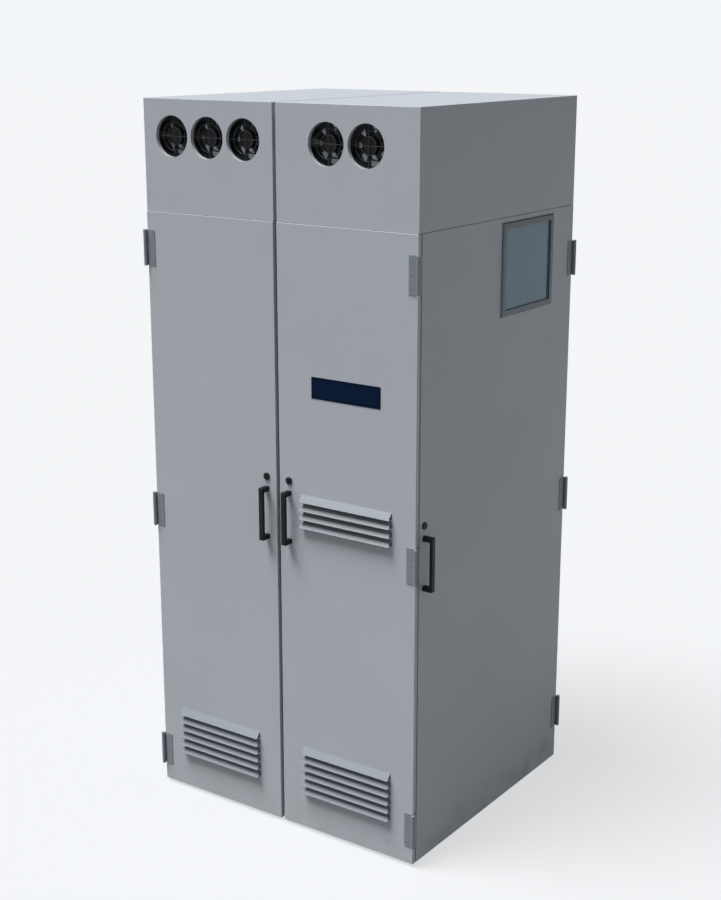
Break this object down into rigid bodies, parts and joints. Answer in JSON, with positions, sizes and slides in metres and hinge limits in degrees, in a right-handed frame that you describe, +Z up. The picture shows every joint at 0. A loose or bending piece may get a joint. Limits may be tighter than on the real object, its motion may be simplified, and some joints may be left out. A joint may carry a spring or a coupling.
{
  "type": "battery cabinet",
  "caption": "Free-standing two-bay battery cabinet with louvred front doors, a windowed side door, bow handles and a fan plenum on top.",
  "frame": {"origin": "middle of the base frame's underside, at the centre of the floor-anchor patterns", "axes": "+X to the right as one faces the front, +Y from front to back, +Z up"},
  "size_m": [0.9228, 0.8413, 2.01],
  "materials": {
    "cabinet_paint": "light grey fine-textured powder coat",
    "galvanised_steel": "zinc-coated sheet steel",
    "zinc_steel": "bright zinc plating",
    "hinge_grey": "mid grey satin coat",
    "handle_black": "fine-grained black nylon",
    "lock_black": "black-coated zinc",
    "fan_plastic": "black glass-filled plastic",
    "guard_wire": "bright plated wire",
    "black_rubber": "soft black seal",
    "filter_foam": "open dark grey foam",
    "display_navy": "glossy dark navy lens",
    "window_anodised": "dark grey anodised",
    "tinted_glass": "smoke and teal tinted safety glass",
    "module_case": "dark moulded case",
    "control_paint": "blue-grey coat",
    "copper_bar": "bare copper bar",
    "isolator_plastic": "yellow moulding",
    "isolator_red": "red moulding"
  },
  "bodies": {
    "cabinet": {"frame_posts": "galvanised_steel", "cross_rails": "galvanised_steel", "side_rails": "galvanised_steel", "levelling_feet": "zinc_steel", "foot_nuts": "zinc_steel", "bay_spacers": "galvanised_steel", "gland_plates": "galvanised_steel", "cable_bushes": "black_rubber", "left_side_panel": "cabinet_paint", "rear_panel_left": "cabinet_paint", "rear_panel_right": "cabinet_paint", "plenum_shell_left": "cabinet_paint", "plenum_shell_right": "cabinet_paint", "fan_housings": "fan_plastic", "fan_guards": "guard_wire", "frame_leaves": "hinge_grey", "hinge_pins": "zinc_steel", "shelves": "galvanised_steel", "battery_modules": "module_case", "control_unit": "control_paint", "busbars": "copper_bar", "isolator_base": "isolator_plastic"},
    "left_door": {"left_door_panel": "cabinet_paint", "left_door_leaves": "hinge_grey", "left_door_seal": "black_rubber", "left_door_handle": "handle_black", "left_lock_body": "lock_black", "left_louvres": "cabinet_paint", "left_filter_trays": "galvanised_steel", "left_filter_pads": "filter_foam"},
    "right_door": {"right_door_panel": "cabinet_paint", "right_door_leaves": "hinge_grey", "right_door_seal": "black_rubber", "right_door_handle": "handle_black", "right_lock_body": "lock_black", "right_louvres": "cabinet_paint", "right_filter_trays": "galvanised_steel", "right_filter_pads": "filter_foam", "display_lens": "display_navy", "display_module": "fan_plastic"},
    "side_door": {"side_door_panel": "cabinet_paint", "side_door_leaves": "hinge_grey", "side_door_seal": "black_rubber", "side_door_handle": "handle_black", "side_lock_body": "lock_black", "window_frame": "window_anodised", "window_glass": "tinted_glass", "window_seal": "black_rubber"},
    "left_lock": {"left_lock_plug": "lock_black", "left_lock_cam": "zinc_steel"},
    "right_lock": {"right_lock_plug": "lock_black", "right_lock_cam": "zinc_steel"},
    "side_lock": {"side_lock_plug": "lock_black", "side_lock_cam": "zinc_steel"},
    "fan_1": {"fan_rotor_1": "fan_plastic"},
    "fan_2": {"fan_rotor_2": "fan_plastic"},
    "fan_3": {"fan_rotor_3": "fan_plastic"},
    "fan_4": {"fan_rotor_4": "fan_plastic"},
    "fan_5": {"fan_rotor_5": "fan_plastic"},
    "isolator": {"isolator_knob": "isolator_red"}
  },
  "joints": [
    {"name": "left_door_hinge", "type": "hinge", "parent": "cabinet", "child": "left_door", "pos_m": [-0.4453, -0.4082, 0.8495], "axis": [0, 0, -1], "range_deg": [0, 120]},
    {"name": "right_door_hinge", "type": "hinge", "parent": "cabinet", "child": "right_door", "pos_m": [0.4453, -0.4082, 0.8495], "axis": [0, 0, 1], "range_deg": [0, 120]},
    {"name": "side_door_hinge", "type": "hinge", "parent": "cabinet", "child": "side_door", "pos_m": [0.4482, 0.4038, 0.8495], "axis": [0, 0, 1], "range_deg": [0, 120]},
    {"name": "left_lock_turn", "type": "hinge", "parent": "left_door", "child": "left_lock", "pos_m": [-0.03775, -0.4025, 1.0125], "axis": [0, 1, 0], "range_deg": [0, 90]},
    {"name": "right_lock_turn", "type": "hinge", "parent": "right_door", "child": "right_lock", "pos_m": [0.03775, -0.4025, 1.0125], "axis": [0, -1, 0], "range_deg": [0, 90]},
    {"name": "side_lock_turn", "type": "hinge", "parent": "side_door", "child": "side_lock", "pos_m": [0.4425, -0.364, 0.951], "axis": [1, 0, 0], "range_deg": [0, 90]},
    {"name": "fan_1_spin", "type": "hinge", "parent": "cabinet", "child": "fan_1", "pos_m": [-0.3448, -0.388, 1.902], "axis": [0, -1, 0], "continuous": true},
    {"name": "fan_2_spin", "type": "hinge", "parent": "cabinet", "child": "fan_2", "pos_m": [-0.2235, -0.388, 1.902], "axis": [0, -1, 0], "continuous": true},
    {"name": "fan_3_spin", "type": "hinge", "parent": "cabinet", "child": "fan_3", "pos_m": [-0.1022, -0.388, 1.902], "axis": [0, -1, 0], "continuous": true},
    {"name": "fan_4_spin", "type": "hinge", "parent": "cabinet", "child": "fan_4", "pos_m": [0.16285, -0.388, 1.902], "axis": [0, -1, 0], "continuous": true},
    {"name": "fan_5_spin", "type": "hinge", "parent": "cabinet", "child": "fan_5", "pos_m": [0.28415, -0.388, 1.902], "axis": [0, -1, 0], "continuous": true},
    {"name": "isolator_turn", "type": "hinge", "parent": "cabinet", "child": "isolator", "pos_m": [0.21625, -0.33, 1.54], "axis": [0, -1, 0], "range_deg": [0, 90]}
  ]
}
